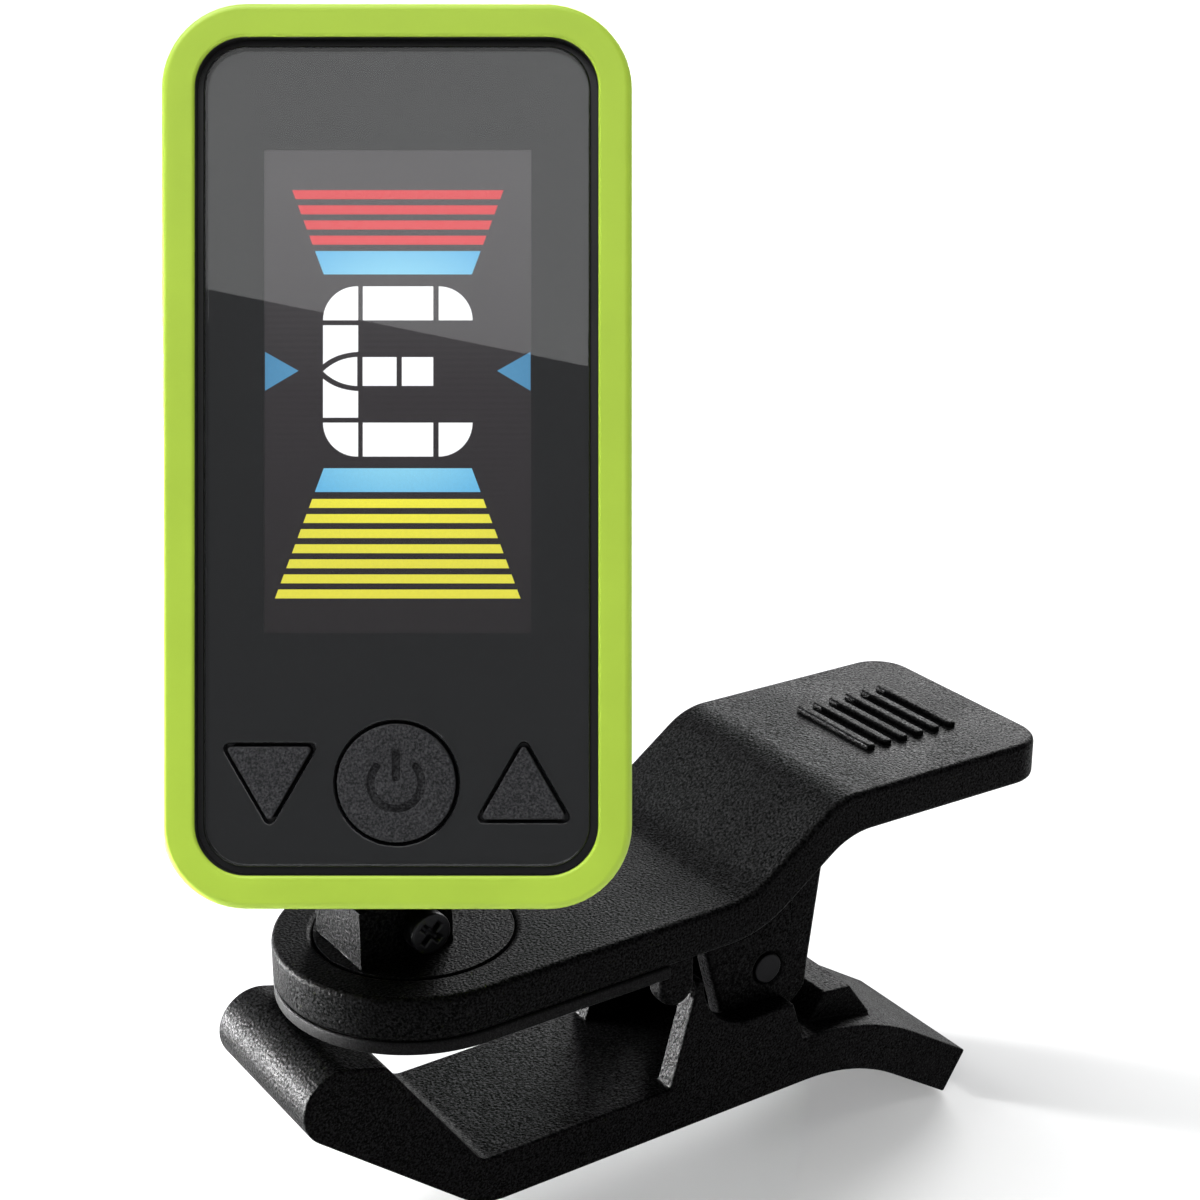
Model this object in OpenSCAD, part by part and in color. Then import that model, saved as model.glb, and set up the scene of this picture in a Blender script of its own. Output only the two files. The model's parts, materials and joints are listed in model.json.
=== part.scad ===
// Clip-on tuner for stringed instruments. A display head sits on a neck that swivels, tilts and
// pans, and a spring clip grips the headstock. Millimetres.
// Frame: the origin is the centre of the rubber pad's gripping face, straight under the swivel.
// +X runs along the clip to its finger handle, +Y across the clip, +Z up along the swivel axis.

/* [Upper arm] */
// Width of the upper arm and its handle
arm_w = 19.75; // [18:0.25:20]
// Thickness of the upper arm
arm_t = 3.3; // [3.2:0.1:3.6]
// Thickness of the rubber pad under the arm
pad_t = 0.95; // [0.9:0.05:1.1]
// Distance from the swivel axis to the end of the handle
arm_end = 50.4; // [46:0.1:54]
// Where the arm starts to rise to the handle
bend_x = 20.3; // [20:0.1:21]
// Height that the handle stands above the front of the arm
bend_rise = 5.7; // [5.2:0.1:6.4]
// Slope of the rise
bend_slope = 36; // [33:1:39]
// Slope of the handle, down towards its end
handle_slope = 1; // [0:0.1:1.5]
// Number of raised grip ribs on the handle
grip_ribs = 6; // [3:1:7]

/* [Lower jaw] */
// Width of the lower jaw
jaw_w = 13.2; // [13:0.1:14]
// Thickness of the lower jaw
jaw_t = 3.8; // [3:0.1:4]
// Height of the jaw's flat top
jaw_top = -11.8; // [-12.3:0.1:-11.7]
// Radius of the rolled nose
nose_r = 2.8; // [2.7:0.1:2.9]

/* [Hinge] */
// Hinge pin, along the clip
pin_x = 27.7; // [27.5:0.1:27.9]
// Hinge pin, height
pin_z = -5.8; // [-5.9:0.1:-5.7]
// Hinge pin radius
pin_r = 1.2; // [1:0.05:1.25]
// Spring wire diameter
wire_d = 0.7; // [0.5:0.05:0.8]
// Turns of the spring
spring_turns = 3; // [2:1:3]

/* [Neck] */
// Radius of the swivel disc
disc_r = 7; // [6.6:0.1:7.4]
// Tilt screw, along the clip
tilt_x = -1.15; // [-1.3:0.05:-1]
// Tilt screw, height
tilt_z = 6.15; // [6.1:0.05:6.2]
// Width of the bracket on the disc
bracket_w = 6.6; // [6.4:0.1:7]
// Radius of the pan spindle
spindle_r = 2; // [1.8:0.05:2.1]

/* [Head] */
// Width of the head
head_w = 30; // [30:0.5:31]
// Height of the head
head_h = 57.7; // [57:0.1:60]
// Depth of the head
head_d = 8.9; // [8.9:0.1:9.2]
// Corner radius of the head
head_r = 5.4; // [5:0.1:5.8]
// Width of the coloured rim round the lens opening
rim_w = 2.15; // [1.9:0.05:2.2]
// Angle of the head about the swivel axis at rest
head_yaw = 33.7; // [20:0.1:40]
// Angle that the head leans back
head_lean = 21.5; // [21:0.1:22]
// Height of the centre of the head's face
head_z = 39.1; // [39:0.1:39.3]
// Distance of the face's centre in front of the swivel axis
head_front = 1.57; // [1.5:0.01:1.65]

/* [Display] */
// Width of the display window
window_w = 17.1; // [16:0.1:17.4]
// Height of the display window
window_h = 30.9; // [30:0.1:31]
// Height of the window's centre above the head's centre
window_z = 4.2; // [4:0.1:4.4]

/* [Buttons] */
// Radius of the power button
power_r = 3.77; // [3.5:0.01:3.8]
// Height of the power button, from the head's centre
power_z = -20.8; // [-21:0.1:-20.6]
// Distance from a triangle button's middle to its sharp corner
arrow_r = 3; // [2.8:0.1:3.1]
// Sideways place of the triangle buttons
arrow_x = 8.1; // [8:0.1:8.2]

/* [Battery] */
// Coin cell radius
cell_r = 10; // [9.9:0.05:10]
// Coin cell thickness
cell_t = 3.2; // [3.1:0.1:3.2]
// Height of the coin cell, from the head's centre
cell_z = 6; // [5:0.5:6]

/* [Hidden] */
$fn = 64;

black = [0.09, 0.09, 0.1];
dark = [0.16, 0.16, 0.17];
green = [0.55, 0.78, 0.2];
steel = [0.72, 0.73, 0.75];
brass = [0.8, 0.66, 0.35];

run_gap = 0.05;            // radial clearance of a running fit
side_gap = 0.15;           // clearance between hinge faces

arm_bottom = pad_t;
arm_top = pad_t + arm_t;
handle_top = arm_top + bend_rise;
bend_r = 5.5;              // radius of the bends, on top of the arm
under_r = 6;               // radius of the bend under the handle
handle_r = 3;              // corner radius of the handle, in plan
handle_x = bend_x + rise_run(bend_rise, bend_r, bend_r);    // where the handle's top starts
handle_end = handle_top - (arm_end + 1 - handle_x) * tan(handle_slope);
web_t = 1;                 // thickness of the arm between the disc and the washer

cheek = [2.9, 4.7];        // span across the clip of each cheek, from the middle
inner_lug = [1.55, cheek[0] - side_gap];
outer_lug = [cheek[1] + side_gap, jaw_w / 2];
cheek_r = 4.6;             // radius of a cheek round the pin
lug_r = 3.2;               // radius of an inner lug round the pin

jaw_bottom = jaw_top - jaw_t;
nose = [-9.45, -3.5];      // centre of the rolled nose
nose_back = [-6.54, -2.49];    // centre of the smaller bend behind the nose
nose_back_r = 1;
tail_x = 30.3;             // where the jaw starts to curve down to its tail
tail_r = 20;               // radius of that curve, on top
tail_slope = 33;
tail_straight = 6.65;

fork = [1.6, bracket_w / 2];   // span across the clip of each bracket cheek
fork_r = 2.4;              // radius of a bracket cheek round the tilt screw
bracket_front = -5.9;
bracket_wall = 2;
tongue_t = 3;
tongue_r = 1.85;
tilt_screw_r = 1;
neck_bottom = 9.15;        // lower end of the pan barrel
neck_top = 15.2;           // upper end of the pan barrel
neck_r = 3.9;
neck_ear = 6.2;            // half width of the clamping ears

// depths in the head, from its front face
lens_y = [0.35, 1.35];
mask_y = [1.35, 1.45];
frame_y = [1.5, 2.1];
lcd_y = [1.5, 2.6];
light_y = [2.65, 3.4];
board_y = [3.45, 4.05];
cell_y = [4.4, 4.4 + cell_t];
rim_y = [1.5, 6];          // the lens pocket starts, and the rim ends
back_wall = 1;
shell_in = head_d - back_wall;
door_r = 11.2;
well_r = 10.6;             // radius of the well that the cell lies in
lip = [27.2, 54.9];        // outline of the lip and the inner frame, inside the rim
lip_r = 4;
room = [24.9, 52.6];       // clear room inside the lip
room_r = 2.9;
lens_size = [head_w - 2 * rim_w - 1, head_h - 2 * rim_w - 1];
lens_r = 2.75;
lcd_size = [20, 34];
upper_screw = [10.6, 24.4];    // case screws, from the head's centre
lower_screw = [10.7, -15.6];
case_screws_at = [for (s = [-1, 1], p = [upper_screw, lower_screw]) [s * p[0], p[1]]];
boss_end = 4.1;            // depth at which the inner frame's bosses meet the shell's standoffs

washer_top = arm_top - 1.5 - web_t - 0.05;
washer_t = 0.35;
collar_z = 8.85;           // lower end of the knuckle's collar
flange_z = 11.2;           // lower end of the spindle's flange
neck_screw_x = 4.95;
neck_screw_z = 12;
ear_z = [9.75, 14.3];      // span up the neck of the clamping ears

cap_y = 0.05;              // front of a button cap
flange_y = [2.15, 2.6];    // the flange that keeps a button in
flange_out = 0.7;          // how far the flange stands out round a button
symbol_depth = 0.15;
arrow_corner = 0.45;       // corner radius of a triangle button
down_at = [-arrow_x, power_z + 0.7];
up_at = [arrow_x, power_z - 0.7];

spring_r = pin_r + 0.45 + wire_d / 2;
upper_foot = [33, 5.9];    // where the spring's legs end
lower_foot = [31.3, jaw_top + wire_d / 2];
coil_from = -35;
coil_to = 360 * spring_turns + 40;
coil_steps = 24 * spring_turns + 5;

function arc(x, z, r, from, to, n = 12) =
  [for (i = [0:n]) let (a = from + (to - from) * i / n) [x + r * cos(a), z + r * sin(a)]];
function flip(list) = [for (i = [len(list) - 1:-1:0]) list[i]];
// A rise made of an arc, a straight slope and an arc back to level.
function rise_run(rise, r1, r2) =
  let (slope = bend_slope, straight = (rise - (r1 + r2) * (1 - cos(slope))) / sin(slope))
  (r1 + r2) * sin(slope) + straight * cos(slope);
function rise_curve(x, z, rise, r1, r2) = concat(
  arc(x, z + r1, r1, -90, -90 + bend_slope),
  arc(x + rise_run(rise, r1, r2), z + rise - r2, r2, 90 + bend_slope, 90));

// An outline drawn in X and Z, given a thickness along Y.
module slab(y0, y1) {
  translate([0, y1, 0]) rotate([90, 0, 0]) linear_extrude(height = y1 - y0) children();
}
module both_sides(span) {
  slab(span[0], span[1]) children();
  slab(-span[1], -span[0]) children();
}
module rod(x, z, r, y0, y1) {
  translate([x, y1, z]) rotate([90, 0, 0]) cylinder(r = r, h = y1 - y0);
}
module rounded_rect(w, h, r) {
  square([w - 2 * r, h], center = true);
  square([w, h - 2 * r], center = true);
  for (x = [-1, 1], z = [-1, 1]) translate([x * (w / 2 - r), z * (h / 2 - r)]) circle(r = r);
}
// A regular triangle with round corners, pointing up. Its sharp corners would be big_r away.
module rounded_triangle(big_r, r) {
  spread = big_r - 2 * r;
  corner = [for (a = [90, 210, 330]) spread * [cos(a), sin(a)]];
  for (c = corner) translate(c) circle(r = r, $fn = 32);
  polygon([for (i = [0:2], side = [-60, 60])
    let (a = 90 + 120 * i + side) corner[i] + r * [cos(a), sin(a)]]);
}
module head_frame() {
  translate([0, 0, head_z]) rotate([0, 0, -head_yaw]) translate([0, -head_front, 0])
    rotate([-head_lean, 0, 0]) children();
}

// ---- clip ----

module arm_plan() {
  circle(r = arm_w / 2, $fn = 96);
  translate([0, -arm_w / 2]) square([arm_end - handle_r, arm_w]);
  translate([0, -arm_w / 2 + handle_r]) square([arm_end, arm_w - 2 * handle_r]);
  for (s = [-1, 1]) translate([arm_end - handle_r, s * (arm_w / 2 - handle_r)])
    circle(r = handle_r);
}
module arm_profile() {
  polygon(concat(
    [[-arm_w, arm_top]],
    rise_curve(bend_x, arm_top, bend_rise, bend_r, bend_r),
    [[arm_end + 1, handle_end], [arm_end + 1, handle_end - arm_t]],
    flip(rise_curve(bend_x, arm_bottom, bend_rise, bend_r + arm_t, under_r)),
    [[-arm_w, arm_bottom]]));
}
module cheek_profile() {
  polygon(concat(
    [[20.9, arm_bottom + 1], [20.9, arm_bottom], [21.9, -3], [23.5, -9]],
    arc(pin_x, pin_z, cheek_r, 246.5, 325),
    [[31.7, pin_z - 0.5], [32.8, 1.6], [32.8, 6], [29, 6], [26, 4]]));
}
module stop_lobe() {
  translate([16.5, -3.4]) square([3, arm_bottom + 3.4 + 0.5]);
  translate([18, -3.4]) circle(r = 1.5);
}
module handle_ribs() {
  rib = [0.8, 9, 0.6];
  pitch = 1.6;
  middle = 41.3;
  translate([handle_x, 0, handle_top]) rotate([0, handle_slope, 0])
    for (i = [0:grip_ribs - 1])
      translate([middle - handle_x + (i - (grip_ribs - 1) / 2) * pitch, 0, -0.2])
        linear_extrude(height = rib[2]) rounded_rect(rib[0], rib[1], rib[0] * 0.49);
}
module upper_arm() {
  color(black) difference() {
    union() {
      intersection() {
        translate([0, 0, -5]) linear_extrude(height = 30) arm_plan();
        slab(-arm_w, arm_w) arm_profile();
      }
      both_sides(cheek) cheek_profile();
      both_sides(outer_lug) stop_lobe();
      translate([16.5, -jaw_w / 2, -2.3]) cube([1, jaw_w, arm_bottom + 2.3 + 0.5]);
      handle_ribs();
    }
    translate([0, 0, arm_top - 1.5]) cylinder(r = disc_r + run_gap, h = 3, $fn = 96);
    translate([0, 0, -1]) cylinder(r = 2.6 + run_gap, h = 6);
    translate([0, 0, arm_bottom - 1]) cylinder(r = 4.3, h = 1 + arm_t - 1.5 - web_t);
    rod(pin_x, pin_z, pin_r, -10, 10);
  }
}
module upper_pad() {
  pad_end = 15;
  color(dark) intersection() {
    linear_extrude(height = pad_t) arm_plan();
    translate([-arm_w, -arm_w, -1]) cube([arm_w + pad_end, 2 * arm_w, 5]);
  }
}

module jaw_profile() {
  ramp_out = 38.7;          // slope of the outer ramp, down from the nose
  ramp_in = 54.7;           // slope of the inner ramp
  crown = 73.4;             // direction in which the two bends of the nose meet
  out_r = 6;                // radius under the heel
  in_r = 1.5;               // radius inside the heel
  heel = [1.18, 1.28];      // where the outer and inner ramps would meet the flat faces
  polygon(concat(
    arc(nose_back[0], nose_back[1], nose_back_r, 90 - ramp_in, crown, 6),
    arc(nose[0], nose[1], nose_r, crown, 270 - ramp_out, 24),
    arc(heel[0] + out_r * tan(ramp_out / 2), jaw_bottom + out_r, out_r, 270 - ramp_out, 270),
    arc(tail_x, jaw_top - tail_r, tail_r - jaw_t, 90, 90 - tail_slope),
    [for (r = [tail_r - jaw_t, tail_r])
      [tail_x + r * sin(tail_slope) + tail_straight * cos(tail_slope),
       jaw_top - tail_r + r * cos(tail_slope) - tail_straight * sin(tail_slope)]],
    arc(tail_x, jaw_top - tail_r, tail_r, 90 - tail_slope, 90),
    arc(heel[1] + in_r * tan(ramp_in / 2), jaw_top + in_r, in_r, 270, 270 - ramp_in)));
}
module outer_lug_profile() {
  apex = [19.85, -3.5];
  scoop_r = 4.4;
  polygon(concat(
    [[17.45, jaw_top - 1], [17.45, jaw_top], apex, apex + [0.5, 0]],
    arc(apex[0] + 0.5 + scoop_r, -8.3 + scoop_r, scoop_r, 180, 270),
    [[28.8, -8.3], [29.9, jaw_top], [29.9, jaw_top - 1]]));
}
module inner_lug_profile() {
  translate([pin_x, pin_z]) circle(r = lug_r);
  polygon([[24.2, jaw_top - 1], [pin_x - lug_r, pin_z], [pin_x + lug_r, pin_z],
    [31.2, jaw_top - 1]]);
}
module tail_ridge() {
  polygon([[31.9, jaw_top - 1], [31.9, jaw_top], [33.3, -9.7], [35.9, -10], [37.9, -12.9],
    [37.9, -14.4]]);
}
module lower_jaw() {
  ridge = 4.75;
  color(black) difference() {
    union() {
      slab(-jaw_w / 2, jaw_w / 2) jaw_profile();
      both_sides(outer_lug) outer_lug_profile();
      both_sides(inner_lug) inner_lug_profile();
      slab(-ridge, ridge) tail_ridge();
    }
    rod(pin_x, pin_z, pin_r + run_gap, -4, 4);
  }
}
module hinge_pin() {
  color(steel) rod(pin_x, pin_z, pin_r, -cheek[1] - 0.05, cheek[1] + 0.05);
}

function coil_y(t) = (t - 0.5) * wire_d * (spring_turns + 0.2);
function coil_point(t) = let (a = coil_from + t * (coil_to - coil_from))
  [pin_x + spring_r * cos(a), coil_y(t), pin_z + spring_r * sin(a)];
function leg_point(foot, y, t, at) = [
  foot[0] + (at[0] - foot[0]) * t, y, foot[1] + (at[2] - foot[1]) * t];
// The spring's middle line: a leg, the turns round the pin, and the other leg.
spring_path = concat(
  [for (t = [0, 0.5]) leg_point(upper_foot, coil_y(0), t, coil_point(0))],
  [for (i = [0:coil_steps]) coil_point(i / coil_steps)],
  [for (t = [0.5, 0]) leg_point(lower_foot, coil_y(1), t, coil_point(1))]);

function unit(v) = v / norm(v);
// A tube of even thickness along a path that stays close to planes of constant y.
module tube(path, r, sides = 8) {
  last = len(path) - 1;
  ring = [for (i = [0:last])
    let (along = unit(path[min(i + 1, last)] - path[max(i - 1, 0)]),
         out = unit(cross(along, [0, 1, 0])), up = cross(out, along))
    for (k = [0:sides - 1]) path[i] + r * (cos(360 * k / sides) * out
      + sin(360 * k / sides) * up)];
  side = [for (i = [0:last - 1], k = [0:sides - 1]) let (n = (k + 1) % sides)
    [i * sides + k, i * sides + n, (i + 1) * sides + n, (i + 1) * sides + k]];
  ends = [[for (k = [sides - 1:-1:0]) k], [for (k = [0:sides - 1]) last * sides + k]];
  polyhedron(ring, concat(side, ends), convexity = 6);
}
module torsion_spring() {
  color(steel) tube(spring_path, wire_d / 2);
}

// ---- neck ----

module bracket_profile() {
  translate([bracket_front, arm_top - 0.5])
    square([tilt_x - bracket_front, tilt_z + fork_r - arm_top + 0.5]);
  translate([tilt_x, tilt_z]) circle(r = fork_r);
  translate([tilt_x, arm_top - 0.5]) square([fork_r, tilt_z - arm_top + 0.5]);
}
module swivel_base() {
  post_r = 2.6;
  slot_back = 6;
  color(black) difference() {
    union() {
      translate([0, 0, arm_top - 1.5]) cylinder(r = disc_r, h = 1.5, $fn = 96);
      translate([0, 0, arm_top - 1.5 - web_t - 0.05]) cylinder(r = post_r, h = 1.2);
      slab(-fork[1], fork[1]) bracket_profile();
    }
    translate([bracket_front + bracket_wall, -fork[0], arm_top - 0.1])
      cube([slot_back - bracket_front, 2 * fork[0], 10]);
    rod(tilt_x, tilt_z, tilt_screw_r + 0.03, -5, 5);
    cylinder(r = 0.95, h = arm_top - 0.7);
  }
}
module swivel_washer() {
  color(steel) translate([0, 0, washer_top - washer_t]) difference() {
    cylinder(r = 4.1, h = washer_t);
    translate([0, 0, -1]) cylinder(r = 1, h = 3);
  }
}
module swivel_screw() {
  head_t = 0.35;
  top = washer_top - washer_t;
  color(steel) difference() {
    union() {
      translate([0, 0, top - head_t]) cylinder(r = 2.2, h = head_t);
      translate([0, 0, top - 0.1]) cylinder(r = 0.9, h = arm_top - 0.8 - top + 0.1);
    }
    for (a = [0, 90]) rotate([0, 0, a]) translate([-1, -0.2, top - head_t - 0.1])
      cube([2, 0.4, 0.3]);
  }
}
module tilt_screw() {
  head_r = 1.5;
  head_t = 1.3;
  color(steel) difference() {
    union() {
      rod(tilt_x, tilt_z, head_r, -fork[1] - head_t, -fork[1]);
      rod(tilt_x, tilt_z, tilt_screw_r, -fork[1] - 0.1, fork[1] + 1.2);
    }
    for (a = [45, 135]) translate([tilt_x, -fork[1] - head_t, tilt_z]) rotate([0, a, 0])
      cube([1.8, 1.2, 0.4], center = true);
  }
}
module tilt_nut() {
  color(steel) difference() {
    translate([tilt_x, fork[1] + 1.3, tilt_z]) rotate([90, 0, 0])
      cylinder(r = 1.9, h = 1.3, $fn = 6);
    rod(tilt_x, tilt_z, tilt_screw_r, 0, 9);
  }
}
module tilt_knuckle() {
  color(black) difference() {
    union() {
      rod(tilt_x, tilt_z, tongue_r, -tongue_t / 2, tongue_t / 2);
      translate([tilt_x - tongue_r, -tongue_t / 2, tilt_z])
        cube([2 * tongue_r, tongue_t, collar_z - tilt_z + 0.1]);
      translate([0, 0, collar_z]) cylinder(r = 3, h = neck_bottom - 0.1 - collar_z);
      translate([0, 0, collar_z]) cylinder(r = spindle_r, h = flange_z - collar_z + 0.1);
      translate([0, 0, flange_z]) cylinder(r = spindle_r + 0.6, h = 0.7);
      translate([0, 0, flange_z]) cylinder(r = spindle_r - 0.5, h = 2.6);
    }
    rod(tilt_x, tilt_z, tilt_screw_r + run_gap, -5, 5);
  }
}
// The room that the spindle turns in.
module spindle_room() {
  translate([0, 0, neck_bottom - 1]) cylinder(r = spindle_r + run_gap, h = 3);
  translate([0, 0, flange_z - 0.1]) cylinder(r = spindle_r + 0.6 + run_gap, h = 0.9);
  translate([0, 0, flange_z]) cylinder(r = spindle_r - 0.5 + run_gap, h = 2.7);
}
module neck_holes(r) {
  for (s = [-1, 1]) rod(s * neck_screw_x, neck_screw_z, r, -2.45, 9);
}

// ---- head ----

module rear_shell() {
  color(black) difference() {
    union() {
      head_frame() difference() {
        union() {
          slab(rim_y[1], head_d) rounded_rect(head_w, head_h, head_r);
          slab(rim_y[1] - 1.8, head_d - 1) rounded_rect(lip[0], lip[1], lip_r);
        }
        slab(0, shell_in) rounded_rect(room[0], room[1], room_r);
      }
      head_frame() rod(0, cell_z, well_r + 1.7, 5, head_d - 0.5);
      head_frame() for (p = case_screws_at) rod(p[0], p[1], 2.2, boss_end + 0.05, head_d - 0.5);
      intersection() {
        rotate([0, 0, -head_yaw]) {
          slab(-9, 0) translate([0, (neck_bottom + neck_top) / 2])
            square([2 * neck_r, neck_top - neck_bottom], center = true);
          slab(-9, 0) translate([0, (ear_z[0] + ear_z[1]) / 2])
            rounded_rect(2 * neck_ear, ear_z[1] - ear_z[0], 1);
        }
        head_frame() slab(head_d - 0.6, 30) square([50, 90], center = true);
      }
    }
    head_frame() rod(0, cell_z, well_r, 3, 20);
    head_frame() rod(0, cell_z, door_r + 0.1, shell_in - 0.05, 20);
    head_frame() for (p = case_screws_at) {
      rod(p[0], p[1], 0.95, 3, 20);
      rod(p[0], p[1], 1.7, 8, 20);
    }
    spindle_room();
    rotate([0, 0, -head_yaw]) neck_holes(0.6);
  }
}
module neck_cap() {
  ear_t = 1.6;
  color(black) rotate([0, 0, -head_yaw]) difference() {
    union() {
      intersection() {
        translate([0, 0, neck_bottom]) cylinder(r = neck_r, h = neck_top - neck_bottom);
        translate([-9, 0, 0]) cube([18, 9, 30]);
      }
      slab(0, ear_t) translate([0, (ear_z[0] + ear_z[1]) / 2])
        rounded_rect(2 * neck_ear, ear_z[1] - ear_z[0], 1);
    }
    spindle_room();
    neck_holes(0.65);
  }
}
module neck_screws() {
  color(steel) rotate([0, 0, -head_yaw]) for (s = [-1, 1]) difference() {
    union() {
      rod(s * neck_screw_x, neck_screw_z, 1.1, 1.6, 2.3);
      rod(s * neck_screw_x, neck_screw_z, 0.6, -2.4, 1.7);
    }
    for (a = [0, 90]) translate([s * neck_screw_x, 2.3, neck_screw_z]) rotate([0, a, 0])
      cube([1.4, 0.6, 0.3], center = true);
  }
}
module front_bezel() {
  opening = [head_w - 2 * rim_w, head_h - 2 * rim_w];
  color(green) head_frame() difference() {
    slab(0, rim_y[1]) rounded_rect(head_w, head_h, head_r);
    slab(-1, 7) rounded_rect(opening[0], opening[1], head_r - rim_w);
    slab(rim_y[0], 7) rounded_rect(lip[0] + 0.2, lip[1] + 0.2, lip_r + 0.1);
  }
}
module arrow_outline(gap) {
  rounded_triangle(arrow_r + 2 * gap, arrow_corner + gap / 2);
}
// Holes for the three buttons, wider than the buttons by gap.
module button_holes(gap) {
  translate([0, power_z]) circle(r = power_r + gap);
  translate(down_at) rotate(180) arrow_outline(gap);
  translate(up_at) arrow_outline(gap);
}
module display_lens() {
  color([0.6, 0.65, 0.7, 0.4]) head_frame() slab(lens_y[0], lens_y[1]) difference() {
    rounded_rect(lens_size[0], lens_size[1], lens_r);
    button_holes(0.18);
  }
}
module lens_mask() {
  color([0.03, 0.03, 0.03]) head_frame() slab(mask_y[0], mask_y[1]) difference() {
    rounded_rect(lens_size[0], lens_size[1], lens_r);
    translate([0, window_z]) square([window_w, window_h], center = true);
    button_holes(0.25);
  }
}
module inner_frame() {
  color(dark) head_frame() difference() {
    union() {
      slab(frame_y[0], frame_y[1]) difference() {
        rounded_rect(lip[0], lip[1], lip_r);
        translate([0, window_z]) square(lcd_size + [0.3, 0.3], center = true);
        button_holes(0.3);
      }
      slab(frame_y[1] - 0.1, boss_end) difference() {
        rounded_rect(lip[0], lip[1], lip_r);
        rounded_rect(room[0], room[1], room_r);
      }
      for (p = case_screws_at) rod(p[0], p[1], 1.4, frame_y[1] - 0.1, boss_end);
    }
    for (p = case_screws_at) rod(p[0], p[1], 0.8, frame_y[1] + 0.4, 9);
  }
}
module lcd_panel() {
  color([0.25, 0.25, 0.28]) head_frame() slab(lcd_y[0], lcd_y[1]) translate([0, window_z])
    square(lcd_size, center = true);
}
module backlight() {
  color([0.92, 0.93, 0.95]) head_frame() slab(light_y[0], light_y[1]) translate([0, window_z])
    rounded_rect(lcd_size[0], lcd_size[1] + 2, 0.6);
}
module main_board() {
  color([0.1, 0.35, 0.2]) head_frame() difference() {
    slab(board_y[0], board_y[1]) rounded_rect(24.6, 52.2, 2.6);
    for (p = case_screws_at) rod(p[0], p[1], 1.75, 3, 5);
  }
}
module board_chips() {
  // each chip: x, z, width, height, thickness
  chips = [[0, -14, 7, 7, 0.9], [7, -11, 3, 1.5, 1.1], [-7.5, -12, 2, 3.2, 0.8],
    [-6, 21.5, 4, 3, 1.3], [2, 21.5, 1.6, 0.8, 0.6], [5, 21.5, 1.6, 0.8, 0.6]];
  color([0.13, 0.13, 0.14]) head_frame() for (c = chips)
    translate([c[0] - c[2] / 2, board_y[1], c[1] - c[3] / 2]) cube([c[2], c[4], c[3]]);
}
module switch_domes() {
  color(steel) head_frame() for (p = [[0, power_z], down_at, up_at])
    rod(p[0], p[1], 2, 3.15, board_y[0]);
}
module piezo_disc() {
  color(brass) head_frame() {
    rod(0, -13, 5, shell_in - 0.2, shell_in);
    rod(0, -13, 3.6, shell_in - 0.4, shell_in - 0.2);
  }
}

// A broken ring and a bar, cut into the power button.
module power_symbol() {
  difference() {
    circle(r = 1.9);
    circle(r = 1.4);
    translate([-0.7, 0]) square([1.4, 3]);
  }
  translate([-0.25, 0.1]) square([0.5, 2.1]);
}
module power_button() {
  color(black) head_frame() difference() {
    union() {
      rod(0, power_z, power_r, cap_y, flange_y[1]);
      rod(0, power_z, power_r + flange_out, flange_y[0], flange_y[1]);
    }
    slab(-1, cap_y + symbol_depth) translate([0, power_z]) power_symbol();
  }
}
module arrow_button() {
  slab(cap_y, flange_y[1]) arrow_outline(0);
  slab(flange_y[0], flange_y[1]) arrow_outline(flange_out);
}
module down_button() {
  color(black) head_frame() translate([down_at[0], 0, down_at[1]]) rotate([0, 180, 0])
    arrow_button();
}
module up_button() {
  color(black) head_frame() translate([up_at[0], 0, up_at[1]]) arrow_button();
}

module battery() {
  color(steel) head_frame() {
    rod(0, cell_z, cell_r - 1.2, cell_y[0], cell_y[0] + 0.5);
    rod(0, cell_z, cell_r, cell_y[0] + 0.4, cell_y[1]);
  }
}
module positive_contact() {
  color(brass) head_frame() {
    translate([10.05, board_y[1], cell_z - 1.8]) cube([0.3, 3, 3.6]);
    translate([8.8, board_y[1], cell_z - 1.8]) cube([1.4, 0.2, 3.6]);
  }
}
module negative_contact() {
  color(brass) head_frame() {
    translate([-6, board_y[1], cell_z - 1.5]) cube([12, 0.2, 3]);
    rod(0, cell_z, 1.2, board_y[1] + 0.1, cell_y[0]);
  }
}
module battery_door() {
  slot = [9, 1.6, 0.6];
  color(black) head_frame() difference() {
    union() {
      rod(0, cell_z, door_r, shell_in, head_d);
      rod(0, cell_z, well_r - 0.3, shell_in - 0.2, head_d);
    }
    translate([-slot[0] / 2, head_d - slot[2], cell_z - slot[1] / 2])
      cube([slot[0], 2, slot[1]]);
  }
}
module case_screws() {
  color(steel) head_frame() for (p = case_screws_at)
    translate([p[0], 0, p[1]]) difference() {
      union() {
        rod(0, 0, 1.6, 8, 8.8);
        rod(0, 0, 0.75, 2.8, 8.1);
      }
      for (a = [0, 90]) translate([0, 8.8, 0]) rotate([0, a, 0])
        cube([2, 0.8, 0.4], center = true);
    }
}

upper_arm();
upper_pad();
lower_jaw();
hinge_pin();
torsion_spring();
swivel_base();
swivel_washer();
swivel_screw();
tilt_screw();
tilt_nut();
tilt_knuckle();
rear_shell();
neck_cap();
neck_screws();
front_bezel();
inner_frame();
display_lens();
lens_mask();
lcd_panel();
backlight();
main_board();
board_chips();
switch_domes();
piezo_disc();
power_button();
down_button();
up_button();
battery();
positive_contact();
negative_contact();
battery_door();
case_screws();
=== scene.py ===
"""Clip-on tuner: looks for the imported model. Lengths are millimetres unless a name says metres."""

import json
import math

import bmesh
import bpy
from mathutils import Matrix, Vector


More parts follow.
